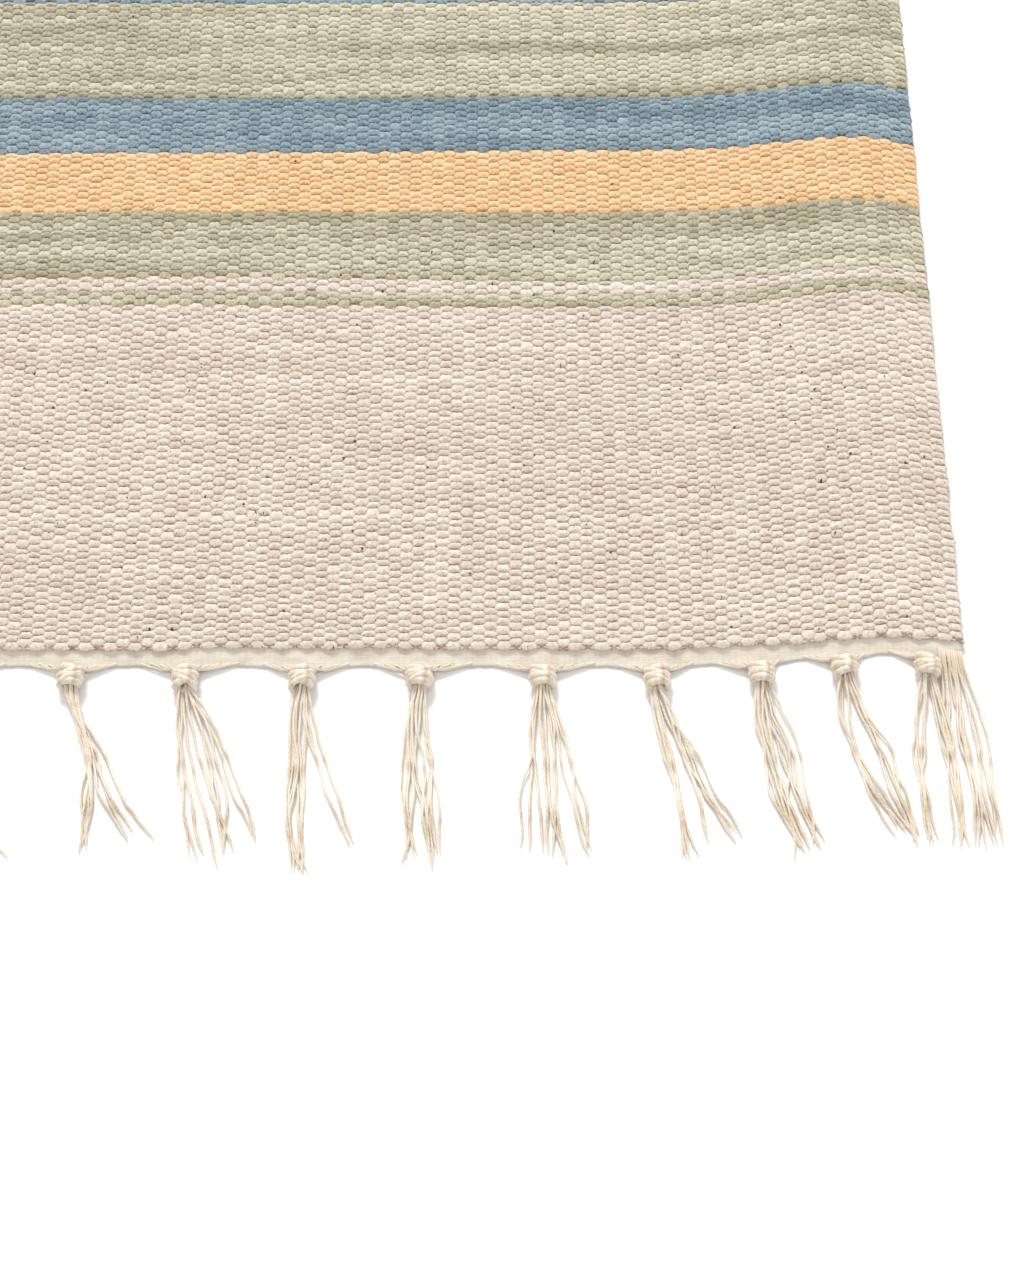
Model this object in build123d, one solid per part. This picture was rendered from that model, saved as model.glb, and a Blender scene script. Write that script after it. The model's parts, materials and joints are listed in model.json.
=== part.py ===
from build123d import *
import os

# A flat-woven cotton runner. Thick weft yarns in four colours are beaten down over cotton warps,
# a header of fine weft locks each end, and the warp ends are knotted into a fringe of tassels.
# X runs across the rug, Y along it and Z up. The origin is at the middle of the underside,
# on the floor. All sizes are in millimetres.

# Driving dimensions: the weave
RIB = 4.0  # from one warp yarn to the next
PICK = 1.5  # from one weft yarn to the next
WEAVE_THICK = 4.0
WARP_THICK = 0.9
SELVEDGE_RIBS = 2  # the outermost warps, which are doubled into a cord
SELVEDGE_WIDE = 5.6
SELVEDGE_THICK = 1.6
HEADER_LONG = 5.4
HEADER_THICK = 2.4

# Stripes of weft, as (yarn, picks), from the front edge to the middle of the rug
GROUP = [
    ("sage", 4),
    ("cream", 4),
    ("sage", 21),
    ("apricot", 19),
    ("blue", 18),
    ("sage", 32),
    ("blue", 18),
    ("apricot", 19),
    ("sage", 21),
    ("cream", 4),
    ("sage", 4),
]
FRONT_HALF = [("cream", 94), *GROUP, ("cream", 118), *GROUP, ("cream", 60)]
STRIPES = FRONT_HALF + FRONT_HALF[::-1]

# Folds: the rug folds across its middle, and each end folds in over the panel beside it.
END_PANEL_PICKS = 264
FOLD_GAP = 0.4  # between two panels at a fold line, and between a header and its fringe

# Tassels
NECK_EDGE = 8.0  # from the last thick weft to the back of a knot
KNOT_WIDE = 9.5
KNOT_LONG = 8.2
KNOT_THICK = 7.5
KNOT_ROUND = 2.6
STRANDS_LONG = 61.0
STRANDS_THICK = 2.2
STRANDS_TOP_WIDE = 7.0
STRANDS_TIP_WIDE = 9.0
LOOSE_WIDE = 4.4
LOOSE_TIP_WIDE = 5.0

# Tassels from the left edge to the right, as (ribs gathered, knot's shift, tips' shift from
# the knot). They are tied by hand, so no two hang quite alike.
TASSELS = [
    (10, 0, -6),
    (10, 1, 3),
    (10, -2, 8),
    (11, 1, -4),
    (10, -1, 5),
    (10, 2, 9),
    (10, 2, 14),
    (9, 0, 15),
    (10, -1, 18),
    (9, -1, 5),
    (10, -1, 3),
    (10, -1, 4),
    (8, 0, 16),
    (7, 4, 12),
    (7, 3, 14),
    (5, 6, -1),
]

# Worked out from the above
RIBS = sum(ribs for ribs, _, _ in TASSELS) + 2 * SELVEDGE_RIBS
PICKS = sum(picks for _, picks in STRIPES)
WIDE = RIB * RIBS
LONG = PICK * PICKS
MID_LEVEL = WEAVE_THICK / 2
FRONT = -LONG / 2
HEADER_EDGE = FRONT - HEADER_LONG
FRINGE_START = HEADER_EDGE - FOLD_GAP
KNOT_BACK = FRONT - NECK_EDGE
KNOT_FRONT = KNOT_BACK - KNOT_LONG
FOLD = -FRONT - END_PANEL_PICKS * PICK

# Panels, from the front end to the back, as (name, front edge, back edge)
HALF_GAP = FOLD_GAP / 2
PANELS = [
    ("front_end", FRONT, -FOLD - HALF_GAP),
    ("front_middle", -FOLD + HALF_GAP, -HALF_GAP),
    ("back_middle", HALF_GAP, FOLD - HALF_GAP),
    ("back_end", FOLD + HALF_GAP, -FRONT),
]


def tassel_ribs():
    """(middle, width) of the flat ribbon of warps that each tassel gathers, left to right."""
    ribbons = []
    left = SELVEDGE_RIBS * RIB - WIDE / 2
    for ribs, _, _ in TASSELS:
        ribbons.append((left + ribs * RIB / 2, (ribs - 1) * RIB + WARP_THICK))
        left += ribs * RIB
    return ribbons


def selvedge_middles():
    """X of the left and the right selvedge cord."""
    middle = WIDE / 2 - SELVEDGE_RIBS * RIB / 2
    return [-middle, middle]


def across(middle, width, thick):
    """A rectangle in X and Z, centred on the weave's mid level."""
    return Pos(middle, MID_LEVEL) * Rectangle(width, thick)


def warp_sections():
    """The end view of the warps, one rectangle for each tassel's ribbon."""
    return [across(middle, width, WARP_THICK) for middle, width in tassel_ribs()]


def selvedge_sections():
    """The end view of the two selvedge cords."""
    return [across(x, SELVEDGE_WIDE, SELVEDGE_THICK) for x in selvedge_middles()]


def woven_section(thick):
    """The end view of a weave, with a slot for each ribbon and cord that runs through it."""
    return across(0, WIDE, thick) - warp_sections() - selvedge_sections()


def along(section, front, back):
    """A section drawn in X and Z, made into a solid that runs from front to back."""
    return extrude(Plane.XZ.offset(-back) * section, amount=back - front)


def weft_nodes():
    """{node: group of solids}: the stripes of one yarn in one panel share a node."""
    section = woven_section(WEAVE_THICK)
    stripes = {}
    front = FRONT
    for yarn, picks in STRIPES:
        back = front + picks * PICK
        for panel, panel_front, panel_back in PANELS:
            start = max(front, panel_front)
            end = min(back, panel_back)
            if end > start:
                node = f"{yarn}_weft_{panel}"
                stripes.setdefault(node, []).append(along(section, start, end))
        front = back
    return {node: Compound(children=solids) for node, solids in stripes.items()}


def warp_nodes():
    """{node: group of solids}: each panel's warps and selvedge cords, through the headers too."""
    nodes = {}
    for panel, front, back in PANELS:
        start = HEADER_EDGE if front == FRONT else front
        end = -HEADER_EDGE if back == -FRONT else back
        warps = [along(section, start, end) for section in warp_sections()]
        cords = [along(section, start, end) for section in selvedge_sections()]
        nodes[f"warp_yarns_{panel}"] = Compound(children=warps)
        nodes[f"selvedge_cords_{panel}"] = Compound(children=cords)
    return nodes


def flat_strip(top, tip, thick, level):
    """A flat strip of yarns that tapers along Y. top and tip are (middle, width, y)."""
    outline = Polyline(
        (top[0] - top[1] / 2, top[2]),
        (top[0] + top[1] / 2, top[2]),
        (tip[0] + tip[1] / 2, tip[2]),
        (tip[0] - tip[1] / 2, tip[2]),
        close=True,
    )
    return extrude(Pos(0, 0, level) * make_face(outline), amount=thick, dir=(0, 0, 1))


def tassel(middle, width, knot_shift, tip_shift):
    """A neck that draws the warps together, an overhand knot and the yarns' free ends."""
    x = middle + knot_shift
    neck = flat_strip(
        (middle, width, FRINGE_START),
        (x, KNOT_WIDE, KNOT_BACK),
        WARP_THICK,
        MID_LEVEL - WARP_THICK / 2,
    )
    knot_section = Pos(x, KNOT_THICK / 2) * RectangleRounded(
        KNOT_WIDE, KNOT_THICK, KNOT_ROUND
    )
    strands = flat_strip(
        (x, STRANDS_TOP_WIDE, KNOT_FRONT),
        (x + tip_shift, STRANDS_TIP_WIDE, KNOT_FRONT - STRANDS_LONG),
        STRANDS_THICK,
        0,
    )
    return Compound(children=[neck, along(knot_section, KNOT_FRONT, KNOT_BACK), strands])


def loose_selvedge_ends():
    """The two selvedge cords' ends, which are left unknotted."""
    ends = []
    for x in selvedge_middles():
        outward = 0.5 if x > 0 else -0.5
        top = (x + outward, LOOSE_WIDE, FRINGE_START)
        tip = (x + 2 * outward, LOOSE_TIP_WIDE, KNOT_FRONT - STRANDS_LONG)
        ends.append(flat_strip(top, tip, STRANDS_THICK, 0))
    return Compound(children=ends)


def front_end_nodes():
    """{node: solids} of the front header and fringe. Names get their end's name later."""
    nodes = {"header": along(woven_section(HEADER_THICK), HEADER_EDGE, FRONT)}
    for number, (ribbon, hang) in enumerate(zip(tassel_ribs(), TASSELS), start=1):
        _, knot_shift, tip_shift = hang
        nodes[f"tassel_{number:02d}"] = tassel(*ribbon, knot_shift, tip_shift)
    nodes["loose_selvedge_ends"] = loose_selvedge_ends()
    return nodes


nodes = weft_nodes() | warp_nodes()
for name, shape in front_end_nodes().items():
    nodes[f"{name}_front"] = shape
    nodes[f"{name}_back"] = mirror(shape, about=Plane.XZ)

os.makedirs("parts", exist_ok=True)
for name, shape in nodes.items():
    export_step(shape, f"parts/{name}.step")
print(f"{len(nodes)} nodes, {WIDE:g} by {LONG:g}, end folds {FOLD:g} from the middle")
print(f"fringe hinges {-HEADER_EDGE + HALF_GAP:g} from the middle")
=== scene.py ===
# %% [markdown]
# # A striped cotton runner, woven flat, with a knotted fringe
#
# The CAD frame says where every stripe, header and tassel lies, and how the rug folds. This
# notebook gives it its looks: a weave of thick wefts over hidden warps, a fine ivory header at
# each end, and warp ends that are knotted by hand and lie loose on the floor.

# %% Load the frame
import json
import math

import bpy
import numpy as np
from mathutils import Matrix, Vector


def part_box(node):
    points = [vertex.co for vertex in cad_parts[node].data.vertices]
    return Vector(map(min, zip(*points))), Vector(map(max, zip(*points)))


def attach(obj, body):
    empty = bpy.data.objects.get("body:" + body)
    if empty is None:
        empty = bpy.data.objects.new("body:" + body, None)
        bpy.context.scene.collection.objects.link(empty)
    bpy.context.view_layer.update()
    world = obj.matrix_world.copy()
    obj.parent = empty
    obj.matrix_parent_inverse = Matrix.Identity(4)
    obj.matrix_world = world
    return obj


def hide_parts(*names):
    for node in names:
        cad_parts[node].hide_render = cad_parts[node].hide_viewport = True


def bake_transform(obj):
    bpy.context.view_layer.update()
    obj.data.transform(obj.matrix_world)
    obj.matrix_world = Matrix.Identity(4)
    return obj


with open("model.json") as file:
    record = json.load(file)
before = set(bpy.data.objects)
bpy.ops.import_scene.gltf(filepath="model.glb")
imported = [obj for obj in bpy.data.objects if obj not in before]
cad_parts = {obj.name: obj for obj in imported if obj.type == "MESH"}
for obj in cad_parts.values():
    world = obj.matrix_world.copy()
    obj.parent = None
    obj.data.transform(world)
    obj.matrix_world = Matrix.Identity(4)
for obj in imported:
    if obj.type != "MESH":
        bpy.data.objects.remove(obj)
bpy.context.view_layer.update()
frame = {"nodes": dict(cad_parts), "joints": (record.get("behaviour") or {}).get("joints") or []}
MM = 0.001

# %% [markdown]
# ## Reading the stripes from the frame
#
# On the loom, a stripe is nothing but a run of picks in one colour. In the frame, each yarn has
# one node for each stiff panel, and all the points of such a node lie on the edges of its
# stripes. So the stripes can be read back, instead of being typed a second time. A cream stripe
# that a fold cuts in two is one stripe here: cloth has no gap at a fold.

# %% Find the stripes
PANELS = ("front_end", "front_middle", "back_middle", "back_end")
YARNS = ("cream", "sage", "apricot", "blue")
RIB = 4.0 * MM  # from one warp to the next
PICK = 1.5 * MM  # from one weft to the next
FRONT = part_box("cream_weft_front_end")[0].y
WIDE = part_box("cream_weft_front_end")[1].x * 2
WEAVE_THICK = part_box("cream_weft_front_end")[1].z
RIBS = round(WIDE / RIB)
PICKS = round(-2 * FRONT / PICK)


def stripe_edges(node):
    """(front, back) of every stripe that a CAD node of weft holds."""
    edges = sorted({round(v.co.y, 5) for v in frame["nodes"][node].data.vertices})
    return zip(edges[::2], edges[1::2])


def find_stripes():
    """Every stripe from the front, as a dict. A stripe in two panels has two nodes."""
    found = []
    for panel in PANELS:
        for yarn in YARNS:
            node = f"{yarn}_weft_{panel}"
            for front, back in stripe_edges(node):
                found.append(
                    {"yarn": yarn, "front": front, "back": back, "nodes": [node], "bodies": [panel]}
                )
    found.sort(key=lambda stripe: stripe["front"])
    whole = [found[0]]
    for stripe in found[1:]:
        last = whole[-1]
        if stripe["yarn"] == last["yarn"] and stripe["front"] - last["back"] < MM:
            last["back"] = stripe["back"]
            last["nodes"] += stripe["nodes"]
            last["bodies"] += stripe["bodies"]
        else:
            whole.append(stripe)
    for stripe in whole:
        stripe["first"] = round((stripe["front"] - FRONT) / PICK)
        stripe["end"] = round((stripe["back"] - FRONT) / PICK)
    return whole


stripes = find_stripes()
print(len(stripes), "stripes,", RIBS, "ribs,", PICKS, "picks")

# %% [markdown]
# ## What a hand gives the weave
#
# A weave drawn by a machine looks dead. In the real cloth each weft swells and thins along its
# length, the beater packs the picks unevenly, and the wefts bow towards the middle of the rug
# beside its edges, where the doubled warps pull. One grid of numbers per trait, with a value for
# every crossing of a rib and a pick, holds all that. Blurring random numbers makes them drift
# along the yarn, as a slub does, and one seed makes them the same in every run.

# %% Unevenness of yarn and beat
rng = np.random.default_rng(11)


def drift(ribs, picks):
    """Random numbers over the crossings, blurred over so many ribs and picks, of spread 1."""
    noise = np.fft.rfft2(rng.standard_normal((RIBS, PICKS)))
    across = np.fft.fftfreq(RIBS)[:, None] * ribs
    along = np.fft.rfftfreq(PICKS)[None, :] * picks
    blur = np.exp(-2 * (math.pi**2) * (across**2 + along**2))
    noise = np.fft.irfft2(noise * blur, s=(RIBS, PICKS))
    return noise / noise.std()


yarn_swell = 0.55 * drift(2.5, 0.3) + 0.45 * drift(0.3, 0.3)
beat_shift = (0.16 * drift(0.6, 0.3) + 0.16 * drift(7, 0.6) + 0.45 * drift(14, 12)) * PICK
rib_shift = (0.22 * drift(0.3, 0.8) + 0.16 * drift(1.0, 40)) * MM


def at_crossings(trait, u, v):
    """A trait at places given in ribs and picks, in between the crossings too."""
    u = np.clip(u - 0.5, 0, RIBS - 1.001)
    v = np.clip(v - 0.5, 0, PICKS - 1.001)
    i, k = u.astype(int), v.astype(int)
    a, b = u - i, v - k
    near = trait[i, k] * (1 - a) + trait[i + 1, k] * a
    far = trait[i, k + 1] * (1 - a) + trait[i + 1, k + 1] * a
    return near * (1 - b) + far * b


BOW_RIGHT = 7.6 * MM
BOW_LEFT = 3.4 * MM
BOW_FROM_EDGE = 19 * MM
BOW_INWARD = 30 * MM
BOW_OUTWARD = 14 * MM
BOW_HALF_WAVE = 1150 * MM


def weft_bow(x, y):
    """How far the wefts lie towards the rug's middle beside each edge."""
    inside = WIDE / 2 - BOW_FROM_EDGE - np.abs(x)
    reach = np.where(inside > 0, BOW_INWARD, BOW_OUTWARD)
    size = np.where(x > 0, BOW_RIGHT, BOW_LEFT)
    return size * np.exp(-0.5 * (inside / reach) ** 2) * np.sin(-math.pi * y / BOW_HALF_WAVE)


def on_rug(u, v):
    """X and Y of places given in ribs and picks."""
    x = u * RIB - WIDE / 2
    y = v * PICK + FRONT
    return x + at_crossings(rib_shift, u, v), y + at_crossings(beat_shift, u, v) + weft_bow(x, y)


print("yarn swells by", round(float(yarn_swell.std()), 2), "on average")

# %% [markdown]
# ## Weaving a stripe
#
# In a weft-faced plain weave, a pick goes over one warp and under the next, and its neighbour
# does the opposite. Each place where a pick goes over shows as a small pillow, a float. The
# floats of one rib stack up 3 mm apart, and those of the next rib lie half a step off, like
# bricks. Real crossing yarns would take tens of millions of faces, and a flat sheet with a bump
# texture would have straight edges. Here a grid follows the floats: one column of points down
# the middle of each rib, one in each dip between ribs, four rows to a float, and every point's
# height worked out from where it lies on its float. The creases round the floats are marked
# sharp, so that sixteen triangles look like a pillow. The edge of a stripe runs in and out round
# its floats, so that two colours lock together.

# %% Heights of the floats
FLOAT_TOP = WEAVE_THICK
CREASE = WEAVE_THICK - 1.45 * MM
SWELL = 0.24 * MM
FLOAT_HALF = 0.57  # half a float's width in ribs, a little more than its rib's
ZIGZAG = 0.08  # the dip between two ribs swerves round their floats


def pillow(across, along):
    """Height of one float at a distance from its middle in ribs and picks."""
    return 1 - along**2.8 - 0.95 * (across / FLOAT_HALF) ** 2.4


def crown(u, v, turn):
    """1 on the middle of a float, about 0 on a crease. turn is 0 above, 1 for the underside."""
    rib = np.floor(np.clip(u, 0, RIBS - 0.001))
    across = np.abs(u - rib - 0.5)
    step = (v - 0.5 - rib - turn) / 2
    along = np.abs(step - np.round(step)) * 2
    return np.maximum(np.maximum(pillow(across, along), pillow(1 - across, 1 - along)), 0)


def float_height(u, v, turn):
    """Height of the top face at places given in ribs and picks."""
    swell = SWELL * at_crossings(yarn_swell, u, v)
    return CREASE + crown(u, v, turn) * (FLOAT_TOP - CREASE + swell)


# How far a stripe's edge runs out round a float, stays in the dip between ribs, and runs in
# where the neighbour's float lies, in picks.
LOCKED_EDGE = (0.42, 0.0, -0.36)
OUTER_EDGE = (0.55, 0.14, -0.30)


def top_points(first, end):
    """Ribs and picks of the top face's grid: where each point lies, and where on its float."""
    u, v = np.meshgrid(np.arange(2 * RIBS + 1) / 2, first + np.arange(2 * (end - first) + 1) / 2)
    rib = np.floor(u)
    on_rib = u != rib
    inside = ~on_rib & (u > 0) & (u < RIBS)
    place = v.copy()
    for edge, inward in ((first, 1), (end, -1)):
        out, dip, back = OUTER_EDGE if edge in (0, PICKS) else LOCKED_EDGE
        row = (v - edge) * inward * 2  # counted from this edge
        own = (rib + edge) % 2 == (0 if inward == 1 else 1)
        place -= np.where(~on_rib & (row == 0), dip * inward, 0)
        place -= np.where(on_rib & own & (row == 0), out * inward, 0)
        place -= np.where(on_rib & ~own & (row < 3), back * (1 - row / 3) * inward, 0)
        v = v - np.where(on_rib & own & (row == 0), 0.5 * inward, 0)
        v = v + np.where(on_rib & ~own & (row < 3), (3 - row) / 6 * inward, 0)
    swerve = np.where(inside, ZIGZAG * np.cos(math.pi * (v + 0.5 - u)), 0)
    return u, u + swerve, place, v


def bottom_points(first, end):
    """Ribs and picks of the coarser grid of the underside."""
    across = np.concatenate([[0], np.arange(RIBS) + 0.5, [RIBS]])
    along = np.concatenate([[first], np.arange(first + 1, end, 2), [end]])
    return np.meshgrid(across, along.astype(float))


print("a float is", 2 * RIB / MM, "by", 2 * PICK / MM, "mm")

# %% Sew the faces of a stripe
EDGE_BULGE = 0.5 * MM  # the wefts turn back round the selvedge cord


def quads(ids):
    """The faces of a grid of point numbers, seen from above."""
    corners = ids[:-1, :-1], ids[:-1, 1:], ids[1:, 1:], ids[1:, :-1]
    return np.stack([c.ravel() for c in corners], axis=1)


def halves(ids, first):
    """The triangles of the top face's grid. Each diagonal runs outward from a float's middle."""
    a, b, c, d = (n.ravel() for n in (ids[:-1, :-1], ids[:-1, 1:], ids[1:, 1:], ids[1:, :-1]))
    row, column = np.indices((ids.shape[0] - 1, ids.shape[1] - 1)).reshape(2, -1)
    rib, right_half = column // 2, column % 2 == 1
    outward = (2 * first + row - 1 - 2 * rib) % 4 < 2
    rising = (right_half == outward)[:, None]
    one = np.where(rising, np.stack([a, b, c], axis=1), np.stack([a, b, d], axis=1))
    two = np.where(rising, np.stack([a, c, d], axis=1), np.stack([b, c, d], axis=1))
    return np.concatenate([one, two])


def creases(ids, first):
    """Pairs of neighbouring points of the top face's grid that lie along a crease."""
    dips = ids[:, ::2]
    row, column = np.indices((ids.shape[0], ids.shape[1] - 1)).reshape(2, -1)
    seam = (2 * first + row - 1 - 2 * (column // 2)) % 4 == 2
    across = np.stack([ids[:, :-1].ravel(), ids[:, 1:].ravel()], axis=1)[seam]
    down = np.stack([dips[:-1].ravel(), dips[1:].ravel()], axis=1)
    return np.concatenate([across, down])


def sew(fine, coarse, match):
    """Triangles between a row of points and a coarser row, whose points lie at fine[match]."""
    faces = []
    for j, (a, b) in enumerate(zip(match[:-1], match[1:])):
        middle = (a + b + 1) // 2
        faces += [(coarse[j], fine[t + 1], fine[t]) for t in range(a, middle)]
        faces.append((coarse[j], coarse[j + 1], fine[middle]))
        faces += [(coarse[j + 1], fine[t + 1], fine[t]) for t in range(middle, b)]
    return np.array(faces)


def new_mesh_object(name, points, four_sided, three_sided):
    """A mesh from NumPy arrays, much faster than from Python lists."""
    mesh = bpy.data.meshes.new(name)
    corners = np.concatenate([four_sided.ravel(), three_sided.ravel()])
    starts = np.concatenate(
        [np.arange(len(four_sided)) * 4, four_sided.size + np.arange(len(three_sided)) * 3]
    )
    mesh.vertices.add(len(points))
    mesh.vertices.foreach_set("co", points.ravel())
    mesh.loops.add(len(corners))
    mesh.loops.foreach_set("vertex_index", corners)
    mesh.polygons.add(len(starts))
    mesh.polygons.foreach_set("loop_start", starts)
    mesh.update(calc_edges=True)
    mesh.validate()
    mesh.shade_smooth()
    obj = bpy.data.objects.new(name, mesh)
    bpy.context.scene.collection.objects.link(obj)
    return obj


def lay_uv(obj, name, uv):
    """A UV map from one place per point, so that a pattern stays on the cloth when it folds."""
    corner = np.empty(len(obj.data.loops), int)
    obj.data.loops.foreach_get("vertex_index", corner)
    layer = obj.data.uv_layers.new(name=name)
    layer.data.foreach_set("uv", uv[corner].ravel())


def weave_stripe(name, first, end):
    """A closed piece of cloth from one pick to another, with floats on both faces."""
    tu, tu_place, tv, t_float = top_points(first, end)
    bu, bv = bottom_points(first, end)
    rows = tu.shape[0]
    eu = np.repeat([[0.0, RIBS]], rows, axis=0)
    ev = np.repeat(tv[:, :1], 2, axis=1)
    places = []
    for u, v, z, pattern in (
        (tu_place, tv, float_height(tu, t_float, 0), t_float),
        (bu, bv, WEAVE_THICK - float_height(bu, bv, 1), bv + 1),
        (eu, ev, np.full(eu.shape, WEAVE_THICK / 2), ev),
    ):
        x, y = on_rug(u, v)
        places.append(np.stack([part.ravel() for part in (x, y, z, u, pattern)], axis=1))
    places = np.concatenate(places)
    top = np.arange(tu.size).reshape(tu.shape)
    bottom = tu.size + np.arange(bu.size).reshape(bu.shape)
    edge = tu.size + bu.size + np.arange(eu.size).reshape(eu.shape)
    turn_back = 0.35 + 0.65 * np.abs(np.cos(math.pi / 2 * (ev[:, 0] - 0.5)))
    places[edge[:, 0], 0] -= EDGE_BULGE * turn_back
    places[edge[:, 1], 0] += EDGE_BULGE * turn_back
    left, right = edge[:, 0], edge[:, 1]
    # The coarse rows' points that lie under each fine row's
    under_rib = np.concatenate([[0], np.arange(RIBS) * 2 + 2, [2 * RIBS + 2]])
    under_pick = np.round((bv[:, 0] - first) * 2).astype(int)
    front = np.concatenate([[left[0]], top[0], [right[0]]])
    back = np.concatenate([[left[-1]], top[-1], [right[-1]]])
    four = [
        quads(bottom)[:, ::-1],
        quads(np.stack([left, top[:, 0]], axis=1)),
        quads(np.stack([top[:, -1], right], axis=1)),
    ]
    three = [
        halves(top, first),
        sew(front, bottom[0], under_rib),
        sew(back, bottom[-1], under_rib)[:, ::-1],
        sew(left, bottom[:, 0], under_pick)[:, ::-1],
        sew(right, bottom[:, -1], under_pick),
    ]
    obj = new_mesh_object(name, places[:, :3], np.concatenate(four), np.concatenate(three))
    lay_uv(obj, "weave", places[:, 3:])
    rims = [np.stack([rim[:-1], rim[1:]], axis=1) for rim in (front, back, bottom[0], bottom[-1])]
    mark_sharp(obj, np.concatenate([creases(top, first), *rims]))
    return obj


def mark_sharp(obj, pairs):
    """Sharp edges between these pairs of points, so that no shading runs across them."""
    ends = np.empty(len(obj.data.edges) * 2, int)
    obj.data.edges.foreach_get("vertices", ends)
    count = len(obj.data.vertices)
    keys = np.sort(ends.reshape(-1, 2), axis=1) @ [count, 1]
    wanted = np.sort(pairs, axis=1) @ [count, 1]
    sharp = obj.data.attributes.new("sharp_edge", "BOOLEAN", "EDGE")
    sharp.data.foreach_set("value", np.isin(keys, wanted))


# %% Weave every stripe
for number, stripe in enumerate(stripes, start=1):
    name = f"stripe_{number:02d}_{stripe['yarn']}"
    stripe["piece"] = weave_stripe(name, stripe["first"], stripe["end"])
faces = sum(len(stripe["piece"].data.polygons) for stripe in stripes)
print("woven:", len(stripes), "stripes with", faces, "faces")

# %% [markdown]
# ## Reading the tassels from the frame
#
# In the frame, a tassel is a flat neck, a block for its knot and a tapered strip for its ends.
# Where those lie says how the yarns run: how wide a group of warps is gathered, where its knot
# sits and which way the ends drift.

# %% Find the tassels
KNOT_LEVEL = 3 * MM  # only a knot stands higher than this
NECK_SPREAD = 3.1 * MM  # from the ribbon's edge to the next group's


def find_tassel(node, end):
    """Where a tassel's gathered warps, its knot and its tip lie. d counts out from the weave."""
    points = np.array([v.co for v in frame["nodes"][node].data.vertices])
    d = np.abs(points[:, 1]) + FRONT
    neck, tip = d < d.min() + 0.1 * MM, d > d.max() - 0.1 * MM
    knot = points[:, 2] > KNOT_LEVEL
    return {
        "node": node,
        "end": end,
        "left": points[neck, 0].min() - NECK_SPREAD / 2,
        "right": points[neck, 0].max() + NECK_SPREAD / 2,
        "knot_x": points[knot, 0].mean(),
        "knot_d": d[knot].mean(),
        "tip_x": points[tip, 0].mean(),
        "tip_d": d.max(),
    }


ENDS = ("front", "back")
TASSELS_PER_END = sum(n.startswith("tassel") for n in frame["nodes"]) // 2
tassels = [
    find_tassel(f"tassel_{number:02d}_{end}", end)
    for end in ENDS
    for number in range(1, TASSELS_PER_END + 1)
]
OUTWARD = {"front": -1, "back": 1}


def past_weave(end, x, d, z):
    """A point d past the last thick weft, which follows the bow of that weft."""
    x, d, z = np.broadcast_arrays(np.asarray(x, float), d, z)
    sign = OUTWARD[end]
    y = sign * -FRONT
    return np.stack([x, y + sign * d + weft_bow(x, np.full(x.shape, y)), z], axis=-1)


print(len(tassels), "tassels, knots", round(tassels[0]["knot_d"] / MM, 1), "mm out")

# %% [markdown]
# ## The header
#
# Past the last thick weft, the weaver packs a few turns of fine ivory yarn, which stop the thick
# ones from sliding off. When the warps are knotted they draw together, and drag this thin strip
# into a row of shallow arches that hang from knot to knot. So the strip is one grid whose lower
# edge follows the arches, and a Solidify modifier gives it its thickness. It dips to the floor
# towards that edge, because the fine yarn is much thinner than the thick ones.

# %% Shape the header
HEADER_THICK = 0.3 * MM
HEADER_HIDDEN = 2.0 * MM  # under the last thick weft
ARCH_HIGH = 6.0 * MM  # from the weave to the edge, midway between two knots
ARCH_LOW = 8.2 * MM  # and at a knot
KNOT_SHOULDER = 2.8 * MM
ARCH_REACH = 22 * MM  # past this far from its knots, an arch hangs level
HIGH_LEVEL = 2.5 * MM  # of the upper face, under the weave
LOW_LEVEL = 0.4 * MM  # and at the edge
RIPPLE = 0.10 * MM  # the warps show through
RAGGED = 0.12 * MM
FAR_OFF = 400 * MM
COLUMNS_PER_RIB = 3
HEADER_ROWS = 8


def arch(end, x):
    """How far out the header's edge hangs. It dips at each knot."""
    middles = [t["knot_x"] for t in tassels if t["end"] == end]
    knots = np.array([-FAR_OFF, *middles, FAR_OFF])
    after = np.clip(np.searchsorted(knots, x), 1, len(knots) - 1)
    reach = np.minimum((knots[after] - knots[after - 1]) / 2, ARCH_REACH)
    near = np.minimum(np.abs(x - knots[after]), np.abs(x - knots[after - 1]))
    s = np.clip((near - KNOT_SHOULDER) / (reach - KNOT_SHOULDER), 0, 1)
    return ARCH_HIGH + (ARCH_LOW - ARCH_HIGH) * (1 - s) ** 1.8


def weave_header(end):
    """One end's header as a single piece."""
    warp = np.arange(RIBS * COLUMNS_PER_RIB + 1) / COLUMNS_PER_RIB
    x = warp * RIB - WIDE / 2
    share = np.linspace(0, 1, HEADER_ROWS + 1)[:, None]
    edge = arch(end, x)[None, :] + RAGGED * rng.standard_normal(len(x))[None, :]
    d = -HEADER_HIDDEN + (edge + HEADER_HIDDEN) * share
    x = np.repeat(x[None, :], HEADER_ROWS + 1, axis=0)
    ribs = RIPPLE * np.cos(2 * math.pi * warp)[None, :]
    fall = np.minimum(share / 0.9, 1) ** 0.8
    z = HIGH_LEVEL + (LOW_LEVEL - HIGH_LEVEL) * fall + ribs * (1 - 0.7 * fall)
    ids = np.arange(x.size).reshape(x.shape)
    faces = quads(ids) if OUTWARD[end] > 0 else quads(ids)[:, ::-1]
    points = past_weave(end, x, d, z).reshape(-1, 3)
    obj = new_mesh_object(f"header_{end}_cloth", points, faces, np.zeros((0, 3), int))
    lay_uv(obj, "weave", np.stack([(warp + 0 * d).ravel(), (d / PICK).ravel()], axis=1))
    solid = obj.modifiers.new("thickness", "SOLIDIFY")
    solid.thickness = HEADER_THICK
    solid.offset = -1
    bpy.context.view_layer.objects.active = obj
    bpy.ops.object.modifier_apply(modifier=solid.name)
    return obj


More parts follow.
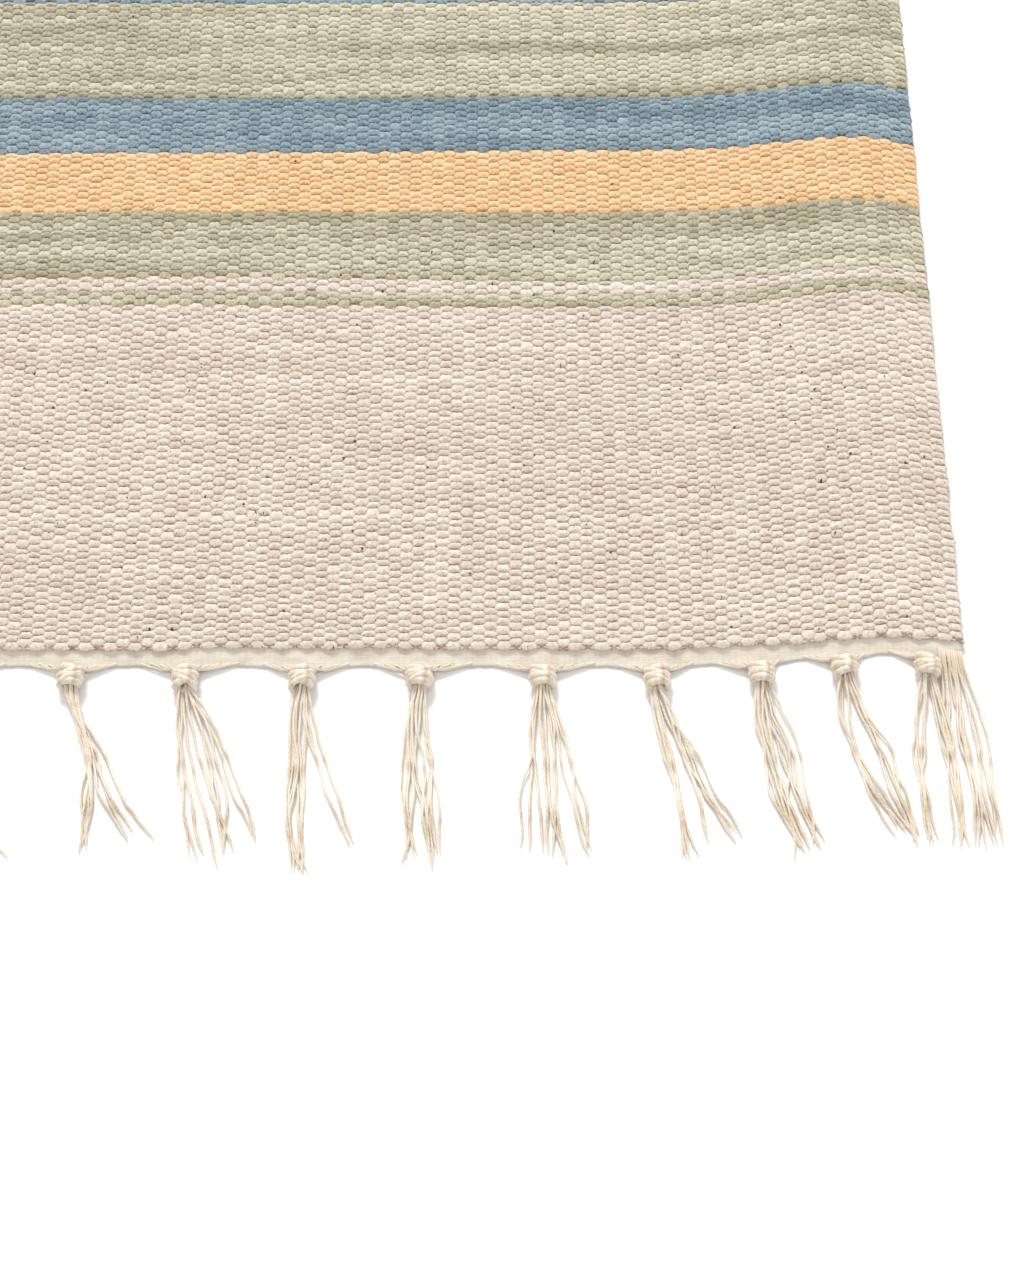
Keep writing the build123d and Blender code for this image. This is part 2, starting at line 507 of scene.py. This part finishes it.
headers = {end: weave_header(end) for end in ENDS}
print("header faces:", len(headers["front"].data.polygons))

# %% [markdown]
# ## Tassels
#
# Each tassel is its group's own warps. They run along the header's edge, pass through an
# overhand knot and lie loose on the floor, where they cling together in clumps. A curve with a
# round bevel is the natural way to make a yarn: it has a real thickness, it can thin at its end,
# and its points can be placed as a hand would leave them. Every yarn of a tassel is one spline
# of one curve, which is then turned into a mesh.

# %% Lay a yarn
YARN = 0.95 * MM  # thick
POINTS_FREE = 20
POINTS_WRAP = 13
FLOOR_LEVEL = 0.55 * MM
SLACK_LEVEL = 1.7 * MM  # how high a free yarn may stand at first
KNOT_MIDDLE = 3.5 * MM
KNOT_CORE = 2.0 * MM
TIP_TAPER = (1.1, 1.0, 0.4)  # a yarn untwists a little at its tip, and then ends in a few fibres


def new_yarn_curve(name):
    curve = bpy.data.curves.new(name, "CURVE")
    curve.dimensions = "3D"
    curve.bevel_depth = YARN / 2
    curve.bevel_resolution = 1
    curve.resolution_u = 1
    curve.use_fill_caps = True
    return curve


def add_yarn(curve, points, radii):
    """A smooth yarn through these points, as one NURBS spline."""
    spline = curve.splines.new("NURBS")
    spline.points.add(len(points) - 1)
    for point, place, radius in zip(spline.points, points, radii):
        point.co = (*place, 1)
        point.radius = radius
    spline.order_u = 3
    spline.use_endpoint_u = True
    spline.use_smooth = True


def free_yarn(hand, start, tip, belly, clump, fray):
    """x, d and z of a free end, from where it leaves the knot to its tip."""
    q = np.linspace(0, 1, POINTS_FREE)
    x0, d0, z0 = start
    sway = np.sin(math.pi * q) ** 0.7
    wander = hand.normal(0, 0.9) + 0.6 * np.sin(5 * q + hand.normal(0, 2))
    wander = wander + hand.normal(0, 0.45) * np.sin(11 * q)
    kinks = hand.normal(0, 0.3, POINTS_FREE) * MM
    x = x0 + (tip[0] - x0) * q + belly * 4 * q * (1 - q)
    x = x + sway * (clump * wander + kinks) + fray * hand.normal(0, 1) * q**3
    d = d0 + (tip[1] + hand.normal(0, 1.5) * MM - d0) * q + hand.normal(0, 0.25, POINTS_FREE) * MM
    settle = np.exp(-q * 8)
    height = FLOOR_LEVEL + hand.random() * SLACK_LEVEL * (1 - q)
    z = height * (1 - settle) + z0 * settle
    return x, d, np.maximum(z, FLOOR_LEVEL)


def yarn_radii(hand, count):
    """Each yarn has its own thickness, and tapers at its tip."""
    radii = np.full(count, 0.85 + 0.25 * hand.random())
    radii[-len(TIP_TAPER) :] *= TIP_TAPER
    return radii


def wrap_yarn(hand, x, d, wide, high, shift, tilt):
    """x, d and z of a yarn of the knot's loop, once round the gathered warps."""
    turn = np.linspace(-0.6, 0.6, POINTS_WRAP) * 2 * math.pi
    tuck = 1 - 0.4 * np.clip(np.abs(turn) / math.pi - 0.8, 0, 1) / 0.4
    return (
        x + wide * tuck * np.sin(turn) + hand.normal(0, 0.07, POINTS_WRAP) * MM,
        d + shift + tilt * np.sin(turn / 2),
        KNOT_MIDDLE + high * tuck * np.cos(turn),
    )


def curve_to_mesh(curve, name):
    """The curve's mesh, closed at the yarns' ends."""
    temporary = bpy.data.objects.new(name + "_curve", curve)
    bpy.context.scene.collection.objects.link(temporary)
    bpy.context.view_layer.update()
    finished = temporary.evaluated_get(bpy.context.evaluated_depsgraph_get())
    mesh = bpy.data.meshes.new_from_object(finished)
    bpy.data.objects.remove(temporary)
    mesh.name = name
    mesh.shade_smooth()
    for face in mesh.polygons:
        face.use_smooth = len(face.vertices) == 4
    obj = bpy.data.objects.new(name, mesh)
    bpy.context.scene.collection.objects.link(obj)
    return obj


# %% [markdown]
# Where the clumps of a tassel end decides its look, so those of the front's right half are listed
# one by one: how many yarns, how far their tips lie to the side of the knot and out from the weave,
# and how far they sag to the side on the way, in millimetres. The others are drawn by lot round
# the place where the frame says their tips lie.

# %% Clumps of the tassels
# On its way along the header's edge a yarn passes three places: how far each lies towards the
# knot, how far past the edge, and how high
EDGE_SHARES = np.array([0, 0.35, 0.75])
EDGE_PAST = np.array([-1.1, 0.7, 0.4])
EDGE_LEVELS = np.array([0.6, 0.9, 1.4]) * MM
TOP_TO_MIDDLE, MIDDLE_TO_FOOT = 3.6 * MM, 3.9 * MM  # of a knot, along its yarns
FOOT_LEVEL = 2.9 * MM  # where the yarns leave the knot
CLUMP_SPREAD = 1.5 * MM
FRAY = 1.5 * MM
LEVEL_WRAPS = ((-2.4, 0.9), (-0.2, 1.05), (2.0, 0.85))  # (mm from the knot's middle, size)
LEVEL_WRAP_SIZE = (3.4 * MM, 2.3 * MM)  # half its width and half its height
SLANTED_WRAPS = (-0.9, 0.9)  # mm from the knot's middle
SLANTED_WRAP_SIZE = (3.6 * MM, 2.7 * MM)
LEVEL_WRAP_THICK, SLANTED_WRAP_THICK = 2.9, 2.3  # times a yarn: several yarns run side by side
CLUMPS_BY_HAND = {
    8: [(5, 7, 73, 4.5), (4, 22.5, 69, -2), (1, 29, 68, 0)],
    9: [(4, 8.5, 77, -3.5), (1, 13, 76, 0), (4, 17.5, 74, 1), (2, 24.5, 68, 2)],
    10: [(4, 0.5, 80, -2.3), (3, 4, 80, 0), (3, 17, 73, -2)],
    11: [(4, -1.5, 77, -1.5), (4, 5, 78, -1), (2, 7, 74, 1)],
    12: [(2, -6.5, 72, -1.5), (3, 2, 74, -1), (2, 7, 77, -1.5), (3, 13.5, 72, 2)],
    13: [(4, 9, 77, 0), (2, 14, 72, 2.5), (4, 23.5, 70, -2)],
    14: [(6, 10, 76, -3), (4, 15.5, 74, 0)],
    15: [(5, 15.5, 72, -5), (5, 20.5, 74, 0)],
    16: [(4, -3, 75, -2), (5, 6.5, 74, 2)],
}


def clumps_of(t, number, hand):
    """(yarns, tip's x, tip's d, belly) of each clump of a tassel."""
    if t["end"] == "front" and number in CLUMPS_BY_HAND:
        return [
            (yarns, t["knot_x"] + x * MM, d * MM, belly * MM)
            for yarns, x, d, belly in CLUMPS_BY_HAND[number]
        ]
    count = hand.integers(2, 4)
    sides = np.linspace(-1, 1, count) * (3 + 3 * hand.random()) * MM
    return [
        (
            10 // count + (1 if n == 0 else 0),
            t["tip_x"] + side + hand.normal(0, 1.2) * MM,
            t["tip_d"] - abs(hand.normal(0, 3)) * MM,
            hand.normal(0, 2.2) * MM,
        )
        for n, side in enumerate(sides)
    ]


def tie_tassel(t, number, seed):
    """One tassel as a mesh: its gathered warps, its knot and its free ends."""
    hand = np.random.default_rng(seed)
    name = f"{t['node']}_yarns"
    curve = new_yarn_curve(name)
    clumps = clumps_of(t, number, hand)
    tips = [clump for clump in clumps for _ in range(clump[0])]
    warps = np.linspace(t["left"] + RIB, t["right"] - RIB, len(tips))
    knot_x, knot_d = t["knot_x"], t["knot_d"]
    top, foot = knot_d - TOP_TO_MIDDLE, knot_d + MIDDLE_TO_FOOT
    levels = hand.permutation(np.linspace(-1, 1, len(tips)))
    for warp, side, level, tip in zip(warps, np.linspace(-1, 1, len(tips)), levels, tips):
        _, tip_x, tip_d, belly = tip
        neck = knot_x + side * KNOT_CORE
        along_x = warp + (neck - warp) * EDGE_SHARES
        past_edge = EDGE_PAST + hand.normal(0, 0.2, 3)
        along_d = arch(t["end"], along_x) + past_edge * MM
        along_d -= 0.5 * MM * (1 - abs(side))
        level = level * 1.2 * MM * (1 - 0.5 * side**2)
        start = (knot_x + side * 1.05 * KNOT_CORE, foot, FOOT_LEVEL + level)
        x, d, z = free_yarn(hand, start, (tip_x, tip_d), belly, CLUMP_SPREAD, FRAY)
        inside = KNOT_MIDDLE + level
        x = np.concatenate([along_x, [neck, knot_x + side * 0.8 * KNOT_CORE], x])
        d = np.concatenate([along_d, [top, knot_d], d])
        z = np.concatenate([EDGE_LEVELS, [inside, inside], z])
        add_yarn(curve, past_weave(t["end"], x, d, z), yarn_radii(hand, len(x)))
    lean = hand.choice([-1, 1])
    for shift, size in LEVEL_WRAPS:
        wide, high = (half * size for half in LEVEL_WRAP_SIZE)
        slant = (-0.8 * lean + hand.normal(0, 0.5)) * MM
        place = (shift + hand.normal(0, 0.2)) * MM
        wrap = wrap_yarn(hand, knot_x, knot_d, wide, high, place, slant)
        thick = np.full(POINTS_WRAP, LEVEL_WRAP_THICK + 0.3 * hand.random())
        add_yarn(curve, past_weave(t["end"], *wrap), thick)
    middle = hand.normal(0, 0.7)
    for shift in SLANTED_WRAPS:
        slant = (2.3 + 0.8 * hand.random()) * lean * MM
        place = (middle + shift) * MM
        wrap = wrap_yarn(hand, knot_x, knot_d, *SLANTED_WRAP_SIZE, place, slant)
        add_yarn(curve, past_weave(t["end"], *wrap), np.full(POINTS_WRAP, SLANTED_WRAP_THICK))
    return curve_to_mesh(curve, name)


for n, t in enumerate(tassels):
    t["piece"] = tie_tassel(t, n % TASSELS_PER_END + 1, seed=100 + n)
print("faces of a tassel:", len(tassels[0]["piece"].data.polygons))
print("UV maps of a tassel:", [layer.name for layer in tassels[0]["piece"].data.uv_layers])

# %% Lay the loose ends at the selvedges
LOOSE_TIPS = [(3, -5, 72), (4, 1, 74), (3, 7, 70)]  # yarns, tip outward of the edge, tip's d
LOOSE_HALF = 3.4 * MM  # half the width of the bunch


def lay_loose_ends(end, seed):
    """The unknotted yarns of both selvedges, as one piece."""
    hand = np.random.default_rng(seed)
    node = f"loose_selvedge_ends_{end}"
    curve = new_yarn_curve(node)
    for x_side in (-1, 1):
        tips = [tip for tip in LOOSE_TIPS for _ in range(tip[0])]
        for side, (_, out, tip_d) in zip(np.linspace(-1, 1, len(tips)), tips):
            x0 = x_side * (WIDE / 2 - RIB + side * LOOSE_HALF)
            start = (x0, ARCH_HIGH + hand.random() * MM, 1.5 * MM + hand.random() * 0.5 * MM)
            tip = (x_side * (WIDE / 2 + out * MM), tip_d * MM)
            x, d, z = free_yarn(hand, start, tip, 0.6 * x_side * MM, 1.4 * MM, 1.6 * MM)
            x = np.concatenate([[x0], x])
            d = np.concatenate([[ARCH_HIGH - 2.5 * MM], d])
            z = np.concatenate([[1.8 * MM], z])
            add_yarn(curve, past_weave(end, x, d, z), yarn_radii(hand, len(x)))
    return curve_to_mesh(curve, f"{node}_yarns")


loose = {end: lay_loose_ends(end, 300 + n) for n, end in enumerate(ENDS)}

# %% [markdown]
# ## Colours and finishes
#
# Undyed and dyed cotton, all of it matt. The wefts get the most care, because they are most of
# what is seen. The loose yarns of the fringe have a faint bloom where the light grazes them.

# %% Helpers for materials


def linear(hex_colour):
    """An sRGB hex colour as the linear RGBA that the shader wants."""
    channels = [int(hex_colour[n : n + 2], 16) / 255 for n in (0, 2, 4)]
    return (*[c / 12.92 if c <= 0.04045 else ((c + 0.055) / 1.055) ** 2.4 for c in channels], 1)


def new_material(name):
    """A material with only a Principled shader, whose tree is returned too."""
    material = bpy.data.materials.new(name)
    material.use_nodes = True
    return material, material.node_tree, material.node_tree.nodes["Principled BSDF"]


def add(tree, kind, links=(), **settings):
    """A node with its settings, and links given as (input, output socket or value)."""
    node = tree.nodes.new("ShaderNode" + kind)
    for key, value in settings.items():
        setattr(node, key, value)
    for socket, source in links:
        if isinstance(source, bpy.types.NodeSocket):
            tree.links.new(source, node.inputs[socket])
        else:
            node.inputs[socket].default_value = source
    return node


class Value:
    """A number that the shader works out, for sums that read like Python's."""

    def __init__(self, tree, socket):
        self.tree, self.socket = tree, socket

    def maths(self, operation, *others):
        """The result of a Math node on this number and others."""
        sockets = [getattr(other, "socket", other) for other in (self, *others)]
        node = add(self.tree, "Math", enumerate(sockets), operation=operation)
        return Value(self.tree, node.outputs[0])

    def __add__(self, other):
        return self.maths("ADD", other)

    def __sub__(self, other):
        return self.maths("SUBTRACT", other)

    def __mul__(self, other):
        return self.maths("MULTIPLY", other)

    def under(self, limit):
        return self.maths("LESS_THAN", limit)

    def rise(self, low, high):
        """0 below low and 1 above high, with a soft step between."""
        node = add(
            self.tree,
            "MapRange",
            [(0, self.socket), (1, low), (2, high)],
            interpolation_type="SMOOTHSTEP",
        )
        return Value(self.tree, node.outputs[0])


def uv_values(tree, name):
    """The two numbers of a UV map."""
    place = add(tree, "UVMap", uv_map=name)
    axes = add(tree, "SeparateXYZ", [(0, place.outputs[0])])
    return Value(tree, axes.outputs[0]), Value(tree, axes.outputs[1])


def pair(tree, a, b):
    """A vector of two numbers."""
    return add(tree, "CombineXYZ", [(0, a.socket), (1, b.socket)]).outputs[0]


def noise(tree, a, b, detail=2.0, roughness=0.5):
    """Smooth noise over two numbers, about 0.5 on average."""
    links = [(0, pair(tree, a, b)), ("Scale", 1.0), ("Detail", detail), ("Roughness", roughness)]
    return Value(tree, add(tree, "TexNoise", links, noise_dimensions="2D").outputs[0])


def specks(tree, a, b, size, share):
    """1 on ragged dots that are scattered over cells of a size, so many to a cell."""
    ragged = noise(tree, a * 2.3, b * 2.3, 1.0) * 0.35
    links = [(0, pair(tree, a * (1 / size) + ragged, b * (1 / size))), ("Scale", 1.0)]
    cells = add(tree, "TexVoronoi", links, voronoi_dimensions="2D")
    lots = add(tree, "SeparateColor", [(0, cells.outputs["Color"])])
    drawn = Value(tree, lots.outputs[0]).under(share)
    radius = Value(tree, lots.outputs[1]).maths("POWER", 3.0) * 0.09 + 0.05
    return drawn * Value(tree, cells.outputs["Distance"]).under(radius)


def blend_colour(tree, factor, a, b):
    """Colour a where the factor is 0, and b where it is 1."""
    links = [(0, factor.socket), (6, a), (7, b)]
    return add(tree, "Mix", links, data_type="RGBA").outputs[2]


# %% [markdown]
# Each float has its own shade, because a pick dives out of sight between two floats and each
# stretch of it catches the light differently. Along a pick the dye comes and goes in streaks,
# fibres make fine slanted lines, the creases between floats get painted shade, and bits of seed
# husk are spun in. The UV map counts ribs and picks, so the shader can tell which float it is on.

# %% Cotton weft
RIB_MM, PICK_MM = RIB / MM, PICK / MM
SMALL_HUSKS, LARGE_HUSKS = 2.3, 3.6  # mm between the places where one may be


def weft_material(name, colours, streaks, husks):
    """Thick cotton weft. Colours: painted shade of a crease, darkest and lightest yarn, a tint."""
    crease, dark, light, tint = (linear(colour) for colour in colours)
    material, tree, shader = new_material(name)
    u, v = uv_values(tree, "weave")
    x, y = u * RIB_MM, v * PICK_MM
    own_rib = u.maths("FLOOR")
    aside = u - own_rib - 0.5
    odd = (own_rib * 0.5).maths("FRACT") * 2
    step = (v - 0.5 - odd) * 0.5
    along = (step - step.maths("ROUND")) * 2
    own, other = (
        side.maths("POWER", 2.4) * -1 + 1 - (beside * 1.62).maths("POWER", 2.4)
        for side, beside in (
            (along.maths("ABSOLUTE"), aside.maths("ABSOLUTE")),
            (along.maths("ABSOLUTE") * -1 + 1, aside.maths("ABSOLUTE") * -1 + 1),
        )
    )
    crown_here = own.maths("MAXIMUM", other).maths("MAXIMUM", 0.0)
    next_rib = other.maths("GREATER_THAN", own)
    rib = own_rib + aside.maths("SIGN") * next_rib
    pick = step.maths("ROUND") * 2 + odd + along.maths("SIGN") * next_rib
    lot = add(tree, "TexWhiteNoise", [(0, pair(tree, rib, pick))], noise_dimensions="2D")
    shade = Value(tree, lot.outputs[0])
    streak = noise(tree, u * 0.09, pick * 3.71 + 0.37, 3.0, 0.6)
    abrash = noise(tree, u * 0.012, v * 0.16, 2.0)
    fibre = noise(tree, x * 0.8 + y * 0.5, y * 1.7 - x * 0.6, 4.0, 0.8)
    warp = noise(tree, rib * 5.13 + 0.4, v * 0.03, 1.0)
    tone = (
        (shade - 0.5) * 0.2
        + (streak - 0.5) * streaks
        + (abrash - 0.5) * streaks * 1.3
        + (fibre - 0.5) * 2.4
        + (warp - 0.5) * 0.3
        + 0.5
    )
    yarn = blend_colour(tree, tone.rise(0.0, 1.0), dark, light)
    tinted = noise(tree, x * 0.5, y * 0.9, 3.0, 0.7).rise(0.52, 0.78) * 0.7
    yarn = blend_colour(tree, tinted, yarn, tint)
    # Painted shade: the yarn's colour darkens towards the crease at its edges, less where the
    # fibres stand up
    crease_shade = (crown_here + (fibre - 0.5) * 1.5 + (shade - 0.5) * 0.3).rise(0.5, -0.15) * 0.75
    yarn = blend_colour(tree, crease_shade, yarn, crease)
    small = specks(tree, x, y, SMALL_HUSKS, husks[0]) * 0.6
    large = specks(tree, y + 3.3, x, LARGE_HUSKS, husks[1]) * 0.9
    yarn = blend_colour(tree, small, yarn, linear("a87c5c"))
    yarn = blend_colour(tree, large, yarn, linear("33251d"))
    tree.links.new(yarn, shader.inputs["Base Color"])
    ply = noise(tree, x * 0.6 + y * 0.9, y * 3.4 - x * 1.1, 2.0)
    relief = crown_here * (shade * 0.5 + 0.5) + ply * 0.35 + fibre * 0.6
    bump = add(tree, "Bump", [("Strength", 0.8), ("Distance", 0.6 * MM), ("Height", relief.socket)])
    tree.links.new(bump.outputs[0], shader.inputs["Normal"])
    shader.inputs["Roughness"].default_value = 0.92
    shader.inputs["Specular IOR Level"].default_value = 0.25
    return material


# The first colour of each is painted shade, for the creases between floats.
CREAM = ("957460", "d6c6b4", "f1e8dc", "dac0af")
SAGE = ("665d43", "ada68b", "dfd8c2", "beb494")
APRICOT = ("a96a30", "e9be8a", "f8dcb4", "edbe8b")
BLUE = ("364653", "738794", "b0c0c6", "889aa1")
cotton = {
    "cream": weft_material("cream_cotton_weft", CREAM, 0.35, (0.4, 0.11)),
    "sage": weft_material("sage_dyed_cotton_weft", SAGE, 1.1, (0.10, 0.035)),
    "apricot": weft_material("apricot_dyed_cotton_weft", APRICOT, 0.35, (0.07, 0.035)),
    "blue": weft_material("blue_dyed_cotton_weft", BLUE, 0.7, (0.02, 0.03)),
}

# %% [markdown]
# The header and the fringe are the same undyed yarn. It is plied from a few strands, so a yarn
# shows a slanted groove where two of them meet, painted a little darker as shade, and it has a
# warmer tan tone in patches at random along it.

# %% Ivory cotton of the header and the fringe


def header_material(name):
    """Fine plain weave: level lines of weft, and a darker line over each warp."""
    material, tree, shader = new_material(name)
    u, v = uv_values(tree, "weave")
    x, y = u * RIB_MM, v * PICK_MM
    fine = noise(tree, x * 0.7, y * 2.6, 4.0, 0.7)
    warp = (x * math.pi).maths("COSINE") * 0.5 + 0.5
    worn = noise(tree, x * 0.11, y * 0.3, 2.0)
    tone = (fine - 0.5) * 0.7 + (worn - 0.5) * 0.9 - warp * 0.07 + 0.6
    yarn = blend_colour(tree, tone.rise(0.0, 1.0), linear("c6baa5"), linear("e3ddd0"))
    tree.links.new(yarn, shader.inputs["Base Color"])
    lines = (y * 6.6 + fine * 3).maths("SINE") * 0.2 + warp * 0.15 + fine * 0.6
    bump = add(tree, "Bump", [("Strength", 0.3), ("Distance", 0.25 * MM), ("Height", lines.socket)])
    tree.links.new(bump.outputs[0], shader.inputs["Normal"])
    shader.inputs["Roughness"].default_value = 0.92
    shader.inputs["Specular IOR Level"].default_value = 0.25
    return material


def yarn_material(name):
    """Plied yarn. U runs along it and V round it."""
    material, tree, shader = new_material(name)
    u, v = uv_values(tree, "UVMap")
    tan_patches = noise(tree, u * 5, v * 0.5, 3.0, 0.6)
    ply = ((u * 42 + v * 2) * (2 * math.pi)).maths("SINE") * 0.5 + 0.5
    # Painted shade: the groove between plies is a little darker. The warmer tan comes in patches at
    # random.
    tone = (tan_patches - 0.5) * 2.1 + (ply - 0.5) * 0.1 + 0.66
    yarn = blend_colour(tree, tone.rise(0.0, 1.0), linear("bb9f7e"), linear("ebe2d2"))
    tree.links.new(yarn, shader.inputs["Base Color"])
    bump = add(tree, "Bump", [("Strength", 0.25), ("Distance", 0.15 * MM), ("Height", ply.socket)])
    tree.links.new(bump.outputs[0], shader.inputs["Normal"])
    shader.inputs["Roughness"].default_value = 0.9
    shader.inputs["Specular IOR Level"].default_value = 0.25
    shader.inputs["Sheen Weight"].default_value = 0.2
    return material


header_cotton = header_material("ivory_cotton_header")
fringe_cotton = yarn_material("ivory_cotton_plied_yarn")

# %% [markdown]
# ## Dressing the pieces and hanging them on the frame

# %% Ride and replace
END_BEND = 13.2 * MM  # how much cloth bends at a fold
MIDDLE_BEND = 33.6 * MM
BENDS = {
    ("front_end", "front_middle"): ("fold_front_end", END_BEND),
    ("front_middle", "back_middle"): ("fold_middle", MIDDLE_BEND),
    ("back_middle", "back_end"): ("fold_back_end", END_BEND),
}
hinges = {joint["name"]: joint for joint in frame["joints"]}


def bend_at(piece):
    """(two bodies, start, end) of the fold that a piece runs into, or None."""
    places = np.empty(len(piece.data.vertices) * 3)
    piece.data.vertices.foreach_get("co", places)
    front, back = places[1::3].min(), places[1::3].max()
    for bodies, (joint, length) in BENDS.items():
        start, end = (hinges[joint]["pos_m"][1] + side * length / 2 for side in (-1, 1))
        if front < end and back > start:
            return bodies, (0, start, 0), (0, end, 0)
    return None


for stripe in stripes:
    piece = stripe["piece"]
    piece.data.materials.append(cotton[stripe["yarn"]])
    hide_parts(*stripe["nodes"])
    # The bow of the wefts brings a pin stripe into the fold beside it, so it is put on neither
    # panel; only its transform is baked in
    bend = bend_at(piece)
    if bend:
        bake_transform(piece)
        print(piece.name, "bends between", " and ".join(bend[0]))
    else:
        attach(piece, stripe["bodies"][0])

for end in ENDS:
    piece = headers[end]
    piece.data.materials.append(header_cotton)
    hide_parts(f"header_{end}")
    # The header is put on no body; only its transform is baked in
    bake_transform(piece)
    loose[end].data.materials.append(fringe_cotton)
    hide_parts(f"loose_selvedge_ends_{end}")
    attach(loose[end], f"{end}_fringe")

for t in tassels:
    t["piece"].data.materials.append(fringe_cotton)
    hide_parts(t["node"])
    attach(t["piece"], f"{t['end']}_fringe")

for panel in PANELS:
    inside = [s for s in stripes if s["bodies"] == [panel]]
    owner = max(inside, key=lambda s: s["back"] - s["front"])["piece"]
    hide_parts(f"warp_yarns_{panel}", f"selvedge_cords_{panel}")

LEAST_SHEET = 10 * MM  # a narrower stripe is listed with the wide one beside it


def middle_of(stripe):
    return (stripe["front"] + stripe["back"]) / 2


wide_stripes = [s for s in stripes if s["back"] - s["front"] > LEAST_SHEET]
for stripe in wide_stripes:
    stripe["with"] = []
for stripe in stripes:
    if stripe not in wide_stripes:
        nearest = min(wide_stripes, key=lambda wide: abs(middle_of(wide) - middle_of(stripe)))
        nearest["with"].append(stripe["piece"])
for stripe, end in ((wide_stripes[0], "front"), (wide_stripes[-1], "back")):
    stripe["with"] += [headers[end], loose[end]] + [t["piece"] for t in tassels if t["end"] == end]
for stripe in wide_stripes:
    size = (WIDE, stripe["back"] - stripe["front"])

# %% [markdown]
# ## Floor, light and camera

# %% Studio
FLOOR_SIZE = 120
ROOM_LIGHT = 0.88  # a little softer on the rug than the white that is seen behind it
KEY_STRENGTH = 2.2
KEY_ANGLE = math.radians(14)
KEY_TURN = (math.radians(-46), math.radians(-12), 0)
bpy.ops.object.select_all(action="DESELECT")
bpy.ops.mesh.primitive_plane_add(size=FLOOR_SIZE, location=(0, 0, -0.3 * MM))
floor = bpy.context.object
floor.name = "floor"
floor_material, _, floor_shader = new_material("white_studio_paper")
floor_shader.inputs["Base Color"].default_value = linear("f7f7f7")
floor_shader.inputs["Roughness"].default_value = 0.9
floor.data.materials.append(floor_material)

world = bpy.data.worlds.new("soft_white_room")
bpy.context.scene.world = world
world.use_nodes = True
room = world.node_tree
seen = add(room, "LightPath").outputs["Is Camera Ray"]
strength = add(room, "MapRange", [(0, seen), (3, ROOM_LIGHT), (4, 1.0)])
room.nodes["Background"].inputs[0].default_value = (1, 1, 1, 1)
room.links.new(strength.outputs[0], room.nodes["Background"].inputs[1])

bpy.ops.object.light_add(type="SUN", rotation=KEY_TURN)
key = bpy.context.object
key.name = "soft_key"
key.data.energy = KEY_STRENGTH
key.data.angle = KEY_ANGLE

# %% Camera
CAMERA_TILT = math.radians(58)  # below the horizon
CAMERA_HIGH = 787 * MM
CAMERA_FROM_EDGE = 147 * MM
CAMERA_BEFORE_WEAVE = 487.4 * MM
LENS, SENSOR = 79.6, 36
bpy.ops.object.camera_add(
    location=(WIDE / 2 - CAMERA_FROM_EDGE, FRONT - CAMERA_BEFORE_WEAVE, CAMERA_HIGH),
    rotation=(math.pi / 2 - CAMERA_TILT, 0, 0),
)
camera = bpy.context.object
camera.name = "camera"
camera.data.lens = LENS
camera.data.sensor_width = SENSOR
camera.data.clip_start = 0.01
bpy.context.scene.camera = camera
bpy.context.scene.view_settings.view_transform = "Standard"
